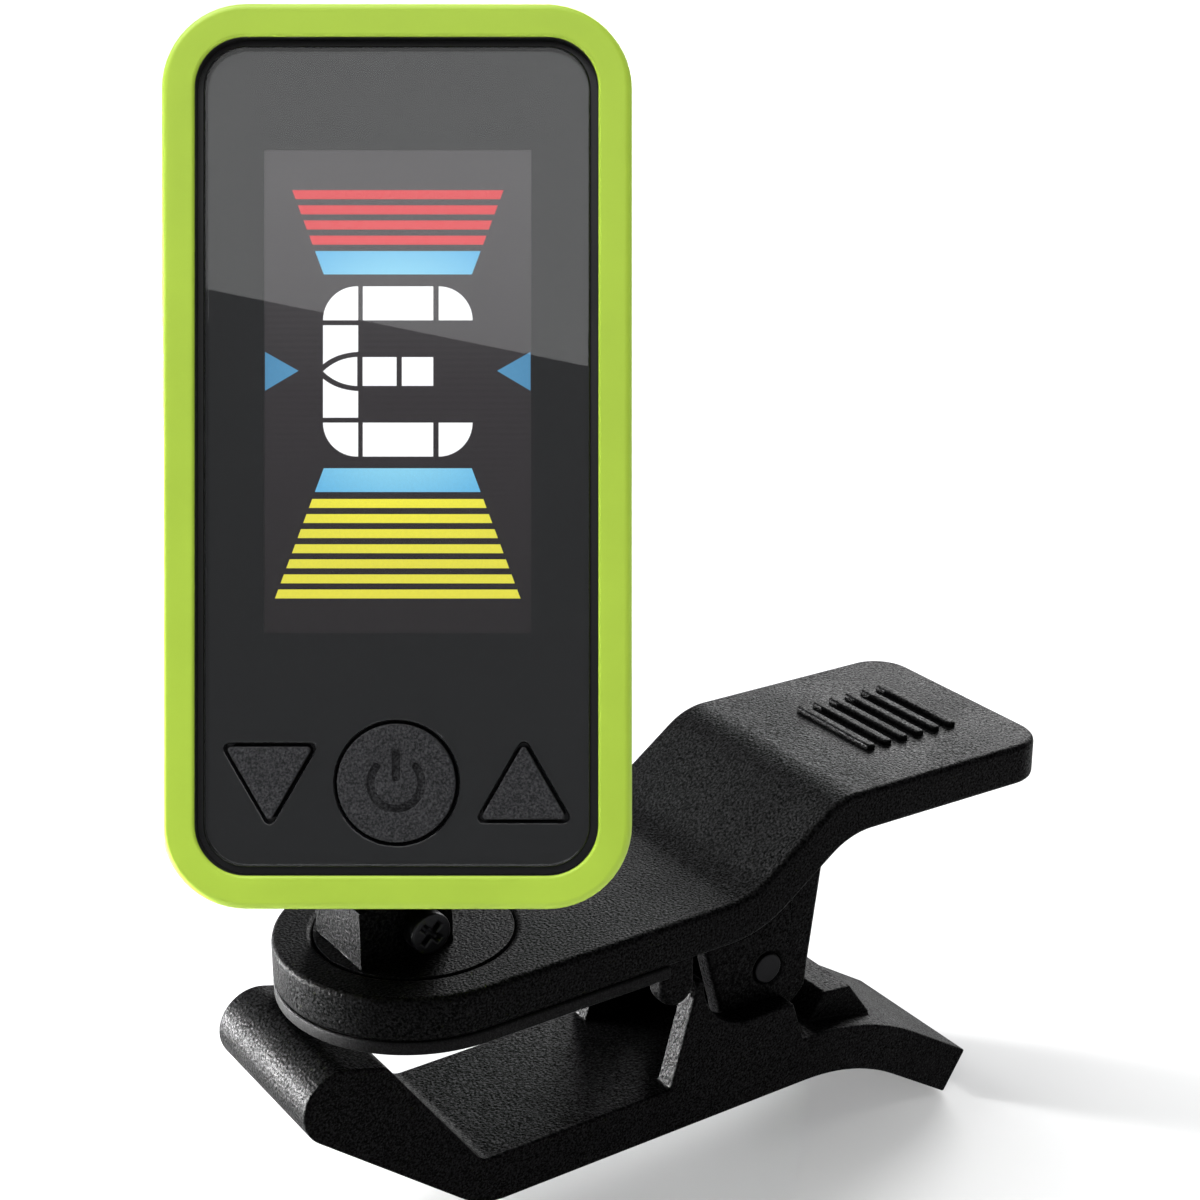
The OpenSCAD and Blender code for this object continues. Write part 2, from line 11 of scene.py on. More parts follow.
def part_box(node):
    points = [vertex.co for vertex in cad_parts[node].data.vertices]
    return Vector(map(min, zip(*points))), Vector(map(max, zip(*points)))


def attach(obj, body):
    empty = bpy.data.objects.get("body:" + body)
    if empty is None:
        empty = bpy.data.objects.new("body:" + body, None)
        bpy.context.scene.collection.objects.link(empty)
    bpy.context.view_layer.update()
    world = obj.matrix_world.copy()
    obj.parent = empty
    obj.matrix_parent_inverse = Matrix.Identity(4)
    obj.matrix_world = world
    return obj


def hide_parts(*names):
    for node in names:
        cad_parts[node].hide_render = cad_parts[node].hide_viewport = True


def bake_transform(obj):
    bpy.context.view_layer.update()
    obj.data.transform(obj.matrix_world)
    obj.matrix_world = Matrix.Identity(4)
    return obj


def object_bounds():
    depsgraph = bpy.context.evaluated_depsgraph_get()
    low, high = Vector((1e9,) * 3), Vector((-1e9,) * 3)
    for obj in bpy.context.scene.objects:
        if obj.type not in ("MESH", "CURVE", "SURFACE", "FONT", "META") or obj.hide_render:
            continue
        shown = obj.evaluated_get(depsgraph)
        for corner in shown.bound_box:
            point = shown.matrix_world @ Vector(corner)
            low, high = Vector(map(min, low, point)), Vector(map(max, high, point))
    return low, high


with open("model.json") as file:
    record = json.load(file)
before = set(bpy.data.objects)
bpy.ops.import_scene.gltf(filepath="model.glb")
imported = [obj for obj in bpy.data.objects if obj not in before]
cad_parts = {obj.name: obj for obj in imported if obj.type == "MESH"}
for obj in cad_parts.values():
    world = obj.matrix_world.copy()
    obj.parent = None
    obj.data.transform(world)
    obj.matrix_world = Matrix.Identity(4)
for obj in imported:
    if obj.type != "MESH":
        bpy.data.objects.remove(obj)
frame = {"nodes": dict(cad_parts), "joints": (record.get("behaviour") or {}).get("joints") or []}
cad_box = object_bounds()
nodes = frame["nodes"]
joints = {j["name"]: j for j in frame["joints"]}
MM = 0.001
DOOR_DEPTH, DOOR_RISE = 8.4, 6   # the door's joint in the head, along depth and up


# ---- frames of the head and the neck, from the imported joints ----

def axes_matrix(right, depth, up, origin):
    """From millimetres along right, depth and up to metres in the row frame."""
    turn = Matrix((right, depth, up)).transposed().to_4x4()
    return Matrix.Translation(origin) @ turn @ Matrix.Scale(MM, 4)


depth_axis = Vector(joints["power_press"]["axis"]).normalized()
right_axis = depth_axis.cross(Vector((0, 0, 1))).normalized()
up_axis = right_axis.cross(depth_axis)
door_pos = Vector(joints["battery_door_twist"]["pos_m"])
HEAD = axes_matrix(right_axis, depth_axis, up_axis,
                   door_pos - depth_axis * DOOR_DEPTH * MM - up_axis * DOOR_RISE * MM)
level_axis = Vector((depth_axis.x, depth_axis.y, 0)).normalized()
NECK = axes_matrix(right_axis, level_axis, Vector((0, 0, 1)), Vector((0, 0, 0)))
ROW = Matrix.Scale(MM, 4)


def local_box(node, matrix=HEAD):
    """Lowest and highest corner of a CAD node, in millimetres along the axes of matrix."""
    back = matrix.inverted()
    points = [back @ v.co for v in nodes[node].data.vertices]
    return (Vector(min(p[i] for p in points) for i in range(3)),
            Vector(max(p[i] for p in points) for i in range(3)))


# ---- materials ----

def new_material(name):
    """A node material, its tree and its shader."""
    material = bpy.data.materials.new(name)
    material.use_nodes = True
    tree = material.node_tree
    return material, tree, tree.nodes["Principled BSDF"]


def noise(tree, size_mm, detail=2.0, rough=0.5, stretch=None):
    """Noise whose features are about size_mm across, in the row frame."""
    coords = tree.nodes.new("ShaderNodeTexCoord")
    vector = coords.outputs["Object"]
    if stretch:
        mapping = tree.nodes.new("ShaderNodeMapping")
        mapping.inputs["Scale"].default_value = stretch
        tree.links.new(vector, mapping.inputs["Vector"])
        vector = mapping.outputs["Vector"]
    node = tree.nodes.new("ShaderNodeTexNoise")
    node.inputs["Scale"].default_value = 1 / (size_mm * MM)
    node.inputs["Detail"].default_value = detail
    node.inputs["Roughness"].default_value = rough
    tree.links.new(vector, node.inputs["Vector"])
    return node.outputs["Fac"]


def cells(tree, size_mm):
    """Distance from the middle of round cells about size_mm across."""
    coords = tree.nodes.new("ShaderNodeTexCoord")
    node = tree.nodes.new("ShaderNodeTexVoronoi")
    node.inputs["Scale"].default_value = 1 / (size_mm * MM)
    tree.links.new(coords.outputs["Object"], node.inputs["Vector"])
    return node.outputs["Distance"]


def ramp(tree, value, stops):
    """Colours or grey levels at positions of value."""
    node = tree.nodes.new("ShaderNodeValToRGB")
    elements = node.color_ramp.elements
    while len(elements) < len(stops):
        elements.new(0.5)
    for element, (at, colour) in zip(elements, stops):
        element.position = at
        level = (colour,) * 3 if isinstance(colour, (int, float)) else colour
        element.color = (*level, 1)
    tree.links.new(value, node.inputs["Fac"])
    return node.outputs["Color"]


def multiply(tree, a, b):
    """One colour darkened by another."""
    node = tree.nodes.new("ShaderNodeMix")
    node.data_type = "RGBA"
    node.blend_type = "MULTIPLY"
    node.inputs["Factor"].default_value = 1.0
    tree.links.new(a, node.inputs["A"])
    tree.links.new(b, node.inputs["B"])
    return node.outputs["Result"]


def bump(tree, height, height_mm, strength, onto=None):
    """A relief of height_mm, on top of the relief onto."""
    node = tree.nodes.new("ShaderNodeBump")
    node.inputs["Strength"].default_value = strength
    node.inputs["Distance"].default_value = height_mm * MM
    tree.links.new(height, node.inputs["Height"])
    if onto:
        tree.links.new(onto, node.inputs["Normal"])
    return node.outputs["Normal"]


def shade(colour, factor):
    """The colour, lighter or darker by factor."""
    return tuple(c * factor for c in colour)


def grained(name, colour, rough, grain_mm=0.17, relief_mm=0.045, contrast=0.85, gloss=0.03):
    """Moulded plastic or rubber with a spark-eroded surface, whose peaks catch the light."""
    material, tree, shader = new_material(name)
    fine = noise(tree, grain_mm, 3.0, 0.6)
    patches = noise(tree, 7.0, 3.0, 0.55)
    speckle = ramp(tree, fine, [(0.36, shade(colour, 1 - contrast)), (0.5, colour),
                                (0.68, shade(colour, 1 + 1.6 * contrast))])
    sparkle = ramp(tree, fine, [(0.36, gloss * (1 - contrast)), (0.5, gloss),
                                (0.66, gloss * (1 + 2 * contrast))])
    tone = ramp(tree, patches, [(0.3, 0.88), (0.7, 1.0)])
    tree.links.new(multiply(tree, speckle, tone), shader.inputs["Base Color"])
    tree.links.new(ramp(tree, patches, [(0.25, rough - 0.05), (0.75, rough + 0.07)]),
                   shader.inputs["Roughness"])
    tree.links.new(sparkle, shader.inputs["Specular IOR Level"])
    pits = bump(tree, cells(tree, grain_mm * 1.5), relief_mm, 0.6)
    tree.links.new(bump(tree, fine, relief_mm, 0.8, pits), shader.inputs["Normal"])
    return material


def satin(name, colour, rough, gloss=0.5, relief_mm=0.004):
    """Smooth moulded plastic with faint flow marks and a soft orange peel."""
    material, tree, shader = new_material(name)
    flow = noise(tree, 9.0, 3.0, 0.5)
    peel = noise(tree, 0.5, 2.0, 0.4)
    tree.links.new(ramp(tree, flow, [(0.3, shade(colour, 0.95)), (0.7, shade(colour, 1.03))]),
                   shader.inputs["Base Color"])
    tree.links.new(ramp(tree, flow, [(0.2, rough - 0.04), (0.8, rough + 0.06)]),
                   shader.inputs["Roughness"])
    shader.inputs["Specular IOR Level"].default_value = gloss
    tree.links.new(bump(tree, peel, relief_mm, 0.5), shader.inputs["Normal"])
    return material


def metal(name, colour, rough, stretch=(1, 1, 12), streak_mm=0.25):
    """Metal with drawn or brushed streaks and a patchy oxide."""
    material, tree, shader = new_material(name)
    streaks = noise(tree, streak_mm, 3.0, 0.6, stretch)
    patches = noise(tree, 2.5, 3.0, 0.6)
    tone = ramp(tree, patches, [(0.3, shade(colour, 0.8)), (0.7, shade(colour, 1.08))])
    lines = ramp(tree, streaks, [(0.3, 0.82), (0.7, 1.0)])
    tree.links.new(multiply(tree, tone, lines), shader.inputs["Base Color"])
    tree.links.new(ramp(tree, streaks, [(0.25, rough - 0.08), (0.75, rough + 0.1)]),
                   shader.inputs["Roughness"])
    shader.inputs["Metallic"].default_value = 1.0
    tree.links.new(bump(tree, streaks, 0.006, 0.5), shader.inputs["Normal"])
    return material


def glowing(name, colour, edge_colour, strength, half_width=14.0):
    """A lit display segment: brighter towards the middle of the display."""
    material, tree, shader = new_material(name)
    coords = tree.nodes.new("ShaderNodeTexCoord")
    place = tree.nodes.new("ShaderNodeMapping")
    place.vector_type = "TEXTURE"
    middle = HEAD @ Vector((0, 0, 5.5))
    place.inputs["Location"].default_value = middle
    place.inputs["Scale"].default_value = (half_width * MM,) * 3
    sphere = tree.nodes.new("ShaderNodeTexGradient")
    sphere.gradient_type = "QUADRATIC_SPHERE"
    tree.links.new(coords.outputs["Object"], place.inputs["Vector"])
    tree.links.new(place.outputs["Vector"], sphere.inputs["Vector"])
    grain = ramp(tree, noise(tree, 0.18, 2.0), [(0.3, 0.95), (0.7, 1.0)])
    tint = ramp(tree, sphere.outputs["Fac"], [(0.05, edge_colour), (0.3, colour)])
    lit = multiply(tree, tint, grain)
    tree.links.new(lit, shader.inputs["Emission Color"])
    shader.inputs["Base Color"].default_value = (0.02, 0.02, 0.02, 1)
    shader.inputs["Emission Strength"].default_value = strength
    shader.inputs["Roughness"].default_value = 0.6
    shader.inputs["Specular IOR Level"].default_value = 0.0
    return material


def display_ground_painted_glow(name):
    """The dark field of the display, with its faint rows of electrodes, and a painted glow: the
    field shines by itself, brighter towards its top.
    """
    material, tree, shader = new_material(name)
    coords = tree.nodes.new("ShaderNodeTexCoord")
    rows = tree.nodes.new("ShaderNodeTexWave")
    rows.bands_direction = "Z"
    rows.inputs["Scale"].default_value = 850.0
    tree.links.new(coords.outputs["Object"], rows.inputs["Vector"])
    lines = ramp(tree, rows.outputs["Fac"], [(0.0, 0.9), (1.0, 1.0)])
    place = tree.nodes.new("ShaderNodeMapping")
    bottom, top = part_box("lcd_panel")[0].z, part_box("lcd_panel")[1].z
    place.inputs["Location"].default_value = (0, 0, -bottom / (top - bottom))
    place.inputs["Scale"].default_value = (0, 0, 1 / (top - bottom))
    height = tree.nodes.new("ShaderNodeSeparateXYZ")
    tree.links.new(coords.outputs["Object"], place.inputs["Vector"])
    tree.links.new(place.outputs["Vector"], height.inputs["Vector"])
    # Painted glow: the field's colour, which it also gives off as light, grows lighter towards the
    # top of the display.
    rise = ramp(tree, height.outputs["Z"], [(0.1, (0.013, 0.0105, 0.0115)),
                                            (0.5, (0.024, 0.02, 0.022)),
                                            (0.9, (0.06, 0.056, 0.058))])
    painted_glow_field = multiply(tree, rise, lines)
    tree.links.new(painted_glow_field, shader.inputs["Base Color"])
    tree.links.new(painted_glow_field, shader.inputs["Emission Color"])
    shader.inputs["Emission Strength"].default_value = 0.85
    shader.inputs["Roughness"].default_value = 0.5
    shader.inputs["Specular IOR Level"].default_value = 0.1
    return material


def clear_lens(name):
    """Clear acrylic with faint smears."""
    material, tree, shader = new_material(name)
    shader.inputs["Base Color"].default_value = (0.95, 0.96, 0.97, 1)
    shader.inputs["Transmission Weight"].default_value = 1.0
    shader.inputs["IOR"].default_value = 1.46
    tree.links.new(ramp(tree, noise(tree, 6.0, 4.0, 0.6), [(0.35, 0.0), (0.75, 0.012)]),
                   shader.inputs["Roughness"])
    return material


def laminate(name):
    """Circuit board: solder mask over faint copper tracks."""
    material, tree, shader = new_material(name)
    coords = tree.nodes.new("ShaderNodeTexCoord")
    tracks = tree.nodes.new("ShaderNodeTexBrick")
    tracks.inputs["Scale"].default_value = 260.0
    tracks.inputs["Mortar Size"].default_value = 0.03
    tracks.inputs["Color1"].default_value = (0.012, 0.1, 0.045, 1)
    tracks.inputs["Color2"].default_value = (0.018, 0.13, 0.06, 1)
    tracks.inputs["Mortar"].default_value = (0.05, 0.22, 0.09, 1)
    tree.links.new(coords.outputs["Object"], tracks.inputs["Vector"])
    weave = ramp(tree, noise(tree, 0.4, 2.0), [(0.3, 0.85), (0.7, 1.0)])
    tree.links.new(multiply(tree, tracks.outputs["Color"], weave), shader.inputs["Base Color"])
    shader.inputs["Roughness"].default_value = 0.35
    tree.links.new(bump(tree, tracks.outputs["Fac"], 0.02, 0.4), shader.inputs["Normal"])
    return material


BLACK = (0.0012, 0.0012, 0.0013)
materials = {
    "arm_plastic": grained("arm_plastic", BLACK, 0.48),
    "jaw_plastic": grained("jaw_plastic", shade(BLACK, 0.9), 0.48),
    "neck_plastic": grained("neck_plastic", BLACK, 0.46),
    "shell_plastic": grained("shell_plastic", BLACK, 0.5),
    "pad_rubber": grained("pad_rubber", shade(BLACK, 1.2), 0.7, 0.12, 0.02, 0.35, 0.1),
    "rim_green": satin("rim_green", (0.43, 0.625, 0.052), 0.42, 0.4),
    "lens_clear": clear_lens("lens_clear"),
    "mask_print": satin("mask_print", (0.004, 0.004, 0.0045), 0.35, 0.2, 0.001),
    "edge_ink": satin("edge_ink", (0.006, 0.006, 0.0065), 0.22, 0.5, 0.001),
    "lcd_glass": display_ground_painted_glow("lcd_glass"),
    "light_guide": satin("light_guide", (0.82, 0.85, 0.88), 0.3),
    "frame_plastic": satin("frame_plastic", (0.02, 0.02, 0.022), 0.32, 0.5, 0.002),
    "rim_wall": satin("rim_wall", (0.03, 0.03, 0.032), 0.35, 0.6, 0.002),
    "board_laminate": laminate("board_laminate"),
    "chip_resin": grained("chip_resin", (0.02, 0.02, 0.022), 0.55, 0.12, 0.01, 0.3),
    "button_rubber": grained("button_rubber", (0.03, 0.03, 0.032), 0.6, 0.15, 0.04, 0.5, 0.12),
    "screw_steel": metal("screw_steel", (0.03, 0.03, 0.032), 0.42),
    "pin_steel": metal("pin_steel", (0.014, 0.014, 0.015), 0.45, (1, 8, 1)),
    "bright_steel": metal("bright_steel", (0.6, 0.61, 0.63), 0.3),
    "spring_wire": metal("spring_wire", (0.5, 0.5, 0.52), 0.28, (1, 1, 1), 0.15),
    "dome_steel": metal("dome_steel", (0.7, 0.71, 0.73), 0.2, (1, 1, 1), 0.4),
    "contact_brass": metal("contact_brass", (0.72, 0.55, 0.28), 0.3),
    "cell_steel": metal("cell_steel", (0.66, 0.67, 0.69), 0.26, (1, 1, 9), 0.3),
}


# ---- outlines, in millimetres ----

def arc(x, z, r, start, end, steps):
    """Points from one angle to another, in degrees."""
    angles = [math.radians(start + (end - start) * i / steps) for i in range(steps + 1)]
    return [(x + r * math.cos(a), z + r * math.sin(a)) for a in angles]


def rounded_rect(width, height, r, x=0.0, z=0.0, steps=14):
    """An upright rectangle round (x, z)."""
    dx, dz = width / 2 - r, height / 2 - r
    corners = ((1, 1, 0), (-1, 1, 90), (-1, -1, 180), (1, -1, 270))
    return [p for sx, sz, a in corners for p in arc(x + sx * dx, z + sz * dz, r, a, a + 90, steps)]


def circle(x, z, r, steps=72):
    """A circle round (x, z)."""
    return arc(x, z, r, 0, 360, steps)[:-1]


def rounded_triangle(x, z, big_r, r, point_up=True):
    """A regular triangle whose sharp corners would be big_r from its middle."""
    spread = big_r - 2 * r
    first = 90 if point_up else 270
    return [p for a in (first, first + 120, first + 240)
            for p in arc(x + spread * math.cos(math.radians(a)),
                         z + spread * math.sin(math.radians(a)), r, a - 60, a + 60, 10)]


def curve_between(start, control, end, steps=8):
    """Points of a quadratic curve."""
    points = []
    for i in range(steps + 1):
        t = i / steps
        points.append(tuple((1 - t) ** 2 * start[k] + 2 * t * (1 - t) * control[k]
                            + t * t * end[k] for k in range(2)))
    return points


# ---- meshes ----

def ink_edges(mesh, limit=0.9):
    """Gives the second material to the faces that don't face along the depth."""
    for face in mesh.polygons:
        face.material_index = int(abs(face.normal.y) < limit)
    return mesh


def place_mesh(name, mesh, material_names, body, matrix, replaces=(), sharp=40):
    """Adds a finished mesh as a piece on a body. Edges over sharp degrees stay crisp."""
    mesh.transform(matrix)
    if matrix.determinant() < 0:
        mesh.flip_normals()
    mesh.name = name
    for m in material_names:
        mesh.materials.append(materials[m])
    piece = bpy.data.objects.new(name, mesh)
    bpy.context.scene.collection.objects.link(piece)
    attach(piece, body)
    if replaces:
        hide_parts(*replaces)
    mesh.shade_smooth()
    mesh.set_sharp_from_angle(angle=math.radians(sharp))
    normals = piece.modifiers.new("normals", "WEIGHTED_NORMAL")
    normals.keep_sharp = True
    return piece


def plate_mesh(outlines, near, far, edge=0.0):
    """A plate between two depths. The first outline is the outer one, the others are holes."""
    curve = bpy.data.curves.new("plate", "CURVE")
    curve.dimensions = "2D"
    curve.fill_mode = "BOTH"
    for k, outline in enumerate(outlines):
        points = outline if k == 0 else outline[::-1]
        spline = curve.splines.new("POLY")
        spline.points.add(len(points) - 1)
        for point, (x, z) in zip(spline.points, points):
            point.co = (x, z, 0, 1)
        spline.use_cyclic_u = True
    curve.extrude = (far - near) / 2 - edge
    curve.bevel_depth = edge
    curve.bevel_resolution = 3
    curve.offset = -edge
    holder = bpy.data.objects.new("plate", curve)
    bpy.context.scene.collection.objects.link(holder)
    bpy.context.view_layer.update()
    mesh = bpy.data.meshes.new_from_object(
        holder.evaluated_get(bpy.context.evaluated_depsgraph_get()))
    bpy.data.objects.remove(holder)
    bpy.data.curves.remove(curve)
    mesh.materials.clear()
    middle = (near + far) / 2
    mesh.transform(Matrix(((1, 0, 0, 0), (0, 0, -1, middle), (0, 1, 0, 0), (0, 0, 0, 1))))
    made = bmesh.new()
    made.from_mesh(mesh)
    bmesh.ops.remove_doubles(made, verts=made.verts, dist=0.002)
    bmesh.ops.recalc_face_normals(made, faces=made.faces)
    made.to_mesh(mesh)
    made.free()
    return mesh


def joined(meshes):
    """One mesh out of several, in the same coordinates."""
    made = bmesh.new()
    for mesh in meshes:
        made.from_mesh(mesh)
    result = bpy.data.meshes.new("joined")
    made.to_mesh(result)
    made.free()
    return result


def loft_mesh(rings, around=False, caps=False, second_from=None):
    """Faces between rings of points. around joins the last ring to the first one.
    Faces from ring number second_from on take the second material."""
    made = bmesh.new()
    rows = [[made.verts.new(p) for p in ring] for ring in rings]
    count = len(rows)
    for i in range(count if around else count - 1):
        a, b = rows[i], rows[(i + 1) % count]
        for k in range(len(a)):
            n = (k + 1) % len(a)
            face = made.faces.new((a[k], a[n], b[n], b[k]))
            face.material_index = int(second_from is not None and i >= second_from)
    if caps:
        made.faces.new(rows[0])
        made.faces.new(rows[-1])
    bmesh.ops.recalc_face_normals(made, faces=made.faces)
    mesh = bpy.data.meshes.new("loft")
    made.to_mesh(mesh)
    made.free()
    return mesh


# ---- the CAD pieces that keep their shape: softened edges and a real finish ----

def round_edges(piece, width, clamp=True):
    """Flat faces in one piece each, and their sharp edges rounded."""
    weld = piece.modifiers.new("weld", "WELD")
    weld.merge_threshold = 1e-6
    flat = piece.modifiers.new("flat", "DECIMATE")
    flat.decimate_type = "DISSOLVE"
    flat.angle_limit = math.radians(1)
    edge = piece.modifiers.new("edge", "BEVEL")
    edge.width = width * MM
    edge.segments = 3
    edge.limit_method = "ANGLE"
    edge.angle_limit = math.radians(35)
    edge.use_clamp_overlap = clamp
    normals = piece.modifiers.new("normals", "WEIGHTED_NORMAL")
    normals.keep_sharp = True


def finish_only(node, material):
    """A real finish on a CAD node."""
    piece = nodes[node]
    piece.data.materials.clear()
    piece.data.materials.append(materials[material])


def soften(node, material, width, clamp=True):
    """A real finish and rounded edges on a CAD node."""
    finish_only(node, material)
    round_edges(nodes[node], width, clamp)


HANDLE_FROM = 0.035              # metres along X: the crest of the bend lies before it
RIB_SPACE = 1.2                  # ribs start further apart than this
ARM_EDGE = 0.45


def arm():
    """The upper arm without its ribs, so that its edges round evenly, and the ribs on it."""
    made = bmesh.new()
    made.from_mesh(nodes["upper_arm"].data)
    tip = max(v.co.x for v in made.verts)
    start = max((v.co for v in made.verts if v.co.x < HANDLE_FROM),
                key=lambda c: c.z).copy()
    end = max((v.co for v in made.verts if v.co.x > tip - 1e-6), key=lambda c: c.z).copy()
    along = Vector((end.x - start.x, 0, end.z - start.z)).normalized()
    above = axes_matrix(along, Vector((along.z, 0, -along.x)), Vector((0, 1, 0)),
                        Vector((start.x, 0, start.z)))
    flat = above.inverted()
    ribs = []
    for v in made.verts:
        p = flat @ v.co
        if p.y < -0.01:
            ribs.append(p.copy())
            v.co = above @ Vector((p.x, 0, p.z))
    bmesh.ops.remove_doubles(made, verts=made.verts, dist=1e-6)
    bmesh.ops.dissolve_degenerate(made, edges=made.edges, dist=1e-7)
    mesh = bpy.data.meshes.new("arm")
    made.to_mesh(mesh)
    made.free()
    mesh.materials.append(materials["arm_plastic"])
    piece = bpy.data.objects.new("arm", mesh)
    bpy.context.scene.collection.objects.link(piece)
    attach(piece, "upper_clip")
    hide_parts("upper_arm")
    mesh.shade_smooth()
    round_edges(piece, ARM_EDGE, False)
    starts, ends = [], []
    for x in sorted({round(p.x, 2) for p in ribs}):
        if not ends or x - starts[-1] > RIB_SPACE:
            starts.append(x)
            ends.append(x)
        ends[-1] = x
    length = 2 * max(p.z for p in ribs)
    crest = min(p.y for p in ribs)
    meshes = [plate_mesh([rounded_rect(b - a, length, (b - a) * 0.49, (a + b) / 2, 0, 6)],
                         crest, 0.2, 0.2) for a, b in zip(starts, ends)]
    place_mesh("grip_ribs", joined(meshes), ["arm_plastic"], "upper_clip", above)


arm()
# Node, material and rounding. A clamped rounding shrinks where an edge is short.
for node, material, width, clamp in (
        ("upper_pad", "pad_rubber", 0.15, True),
        ("lower_jaw", "jaw_plastic", 0.16, False),
        ("hinge_pin", "pin_steel", 0.12, True),
        ("swivel_base", "neck_plastic", 0.12, True),
        ("tilt_knuckle", "neck_plastic", 0.15, True),
        ("tilt_screw", "screw_steel", 0.15, True),
        ("neck_cap", "neck_plastic", 0.3, True),
        ("battery_door", "shell_plastic", 0.2, True),
        ("battery", "cell_steel", 0.2, True),
        ("swivel_screw", "bright_steel", 0.08, True),
        ("neck_screws", "screw_steel", 0.12, True),
        ("case_screws", "screw_steel", 0.12, True),
        ("piezo_disc", "contact_brass", 0.03, True),
        ("switch_domes", "dome_steel", 0.1, True),
        ("board_chips", "chip_resin", 0.08, True),
        ("positive_contact", "contact_brass", 0.04, True),
        ("negative_contact", "contact_brass", 0.04, True),
        ("backlight", "light_guide", 0.1, True)):
    soften(node, material, width, clamp)
for node, material in (("main_board", "board_laminate"), ("inner_frame", "frame_plastic"),
                       ("swivel_washer", "bright_steel"), ("tilt_nut", "screw_steel")):
    finish_only(node, material)


# ---- head ----

rim_high = local_box("front_bezel")[1]
HEAD_W, HEAD_H = 2 * rim_high.x, 2 * rim_high.z
HEAD_CORNER = 5.4
rim_end = rim_high.y
lens_low, lens_high = local_box("display_lens")
opening_w = 2 * lens_high.x + 1  # the lens has 0.5 mm of the frame to each side
rim = (HEAD_W - opening_w) / 2


def head_ring(inset, depth):
    """The head's outline, drawn in by inset."""
    outline = rounded_rect(HEAD_W - 2 * inset, HEAD_H - 2 * inset, HEAD_CORNER - inset)
    return [(x, depth, z) for x, z in outline]


# Rim: (inset, depth) from the seam at the shell over the front to the hidden inner wall.
edge_out, edge_in, seam = 0.5, 0.22, 0.12
wall_end, wall_thick = 1.5, 0.85
profile = ([(seam, rim_end), (0.03, rim_end - 0.04), (0.0, rim_end - seam)]
           + arc(edge_out, edge_out, edge_out, 180, 270, 5)
           + arc(rim - edge_in, edge_in, edge_in, 270, 360, 5))
wall_from = len(profile) - 1
profile += [(rim, wall_end), (rim - wall_thick, wall_end), (rim - wall_thick, rim_end)]
place_mesh("front_bezel_rim",
           loft_mesh([head_ring(i, d) for i, d in profile], around=True, second_from=wall_from),
           ["rim_green", "rim_wall"], "head", HEAD, ["front_bezel"])

# Buttons and the holes round them.
power = local_box("power_button")
power_z = (power[0].z + power[1].z) / 2
power_flange = (power[1].x - power[0].x) / 2
power_r = power_flange - 0.7     # the flange stands 0.7 mm past the cap
flange_near, flange_far = power[1].y - 0.45, power[1].y
cap_near = power[0].y
arrow_r, arrow_corner = 3.2, 0.22
FLANGE_R = 4.4                   # sharp corners of an arrow button's flange


def arrow_middle(node, point_up):
    """Middle of a triangle button, from the box round its flange."""
    lowest, highest = local_box(node)
    reach = FLANGE_R / 2
    return (lowest.x + highest.x) / 2, (lowest.z + reach if point_up else highest.z - reach)


down_at = arrow_middle("down_button", False)
up_at = arrow_middle("up_button", True)


def hole_outlines(gap):
    """Holes with a gap round the three caps."""
    return [circle(0, power_z, power_r + gap),
            rounded_triangle(*down_at, arrow_r + 2 * gap, arrow_corner + gap / 2, False),
            rounded_triangle(*up_at, arrow_r + 2 * gap, arrow_corner + gap / 2)]


# Lens, the print on its back with a window for the display, and the display.
lens_outline = rounded_rect(2 * lens_high.x, 2 * lens_high.z, 2.75)
place_mesh("lens", ink_edges(plate_mesh([lens_outline] + hole_outlines(0.18), lens_low.y,
                                        lens_high.y - 0.02, 0.16)),
           ["lens_clear", "edge_ink"], "head", HEAD, ["display_lens"], sharp=8)
lcd_low, lcd_high = local_box("lcd_panel")
display_z = (lcd_low.z + lcd_high.z) / 2
WINDOW_W, WINDOW_H = 17.1, 30.9
window = rounded_rect(WINDOW_W, WINDOW_H, 0.05, 0, display_z, 2)
place_mesh("printed_mask", plate_mesh([lens_outline, window] + hole_outlines(0.25),
                                      lens_high.y + 0.01, lens_high.y + 0.1),
           ["mask_print"], "head", HEAD, ["lens_mask"])
lcd_outline = rounded_rect(lcd_high.x - lcd_low.x, lcd_high.z - lcd_low.z, 0.2, 0, display_z, 3)
place_mesh("display_panel", plate_mesh([lcd_outline], lcd_low.y, lcd_high.y, 0.05),
           ["lcd_glass"], "head", HEAD, ["lcd_panel"])

# Shell behind the rim: the back plate with its openings, and the half of the neck clamp on it.
door_low, door_high = local_box("battery_door")
door_z = (door_low.z + door_high.z) / 2
door_r = (door_high.x - door_low.x) / 2


def screw_centres():
    """Middles of the four case screws, from the CAD screws' corners by quarter of the head."""
    to_local = HEAD.inverted()
    local = [to_local @ v.co for v in nodes["case_screws"].data.vertices]
    points = {(round(v.x, 2), round(v.z, 2)) for v in local}
    found = []
    for side in (-1, 1):
        for upper in (False, True):
            group = [p for p in points if p[0] * side > 0 and (p[1] > 5) == upper]
            found.append(((min(p[0] for p in group) + max(p[0] for p in group)) / 2,
                          (min(p[1] for p in group) + max(p[1] for p in group)) / 2))
    return found


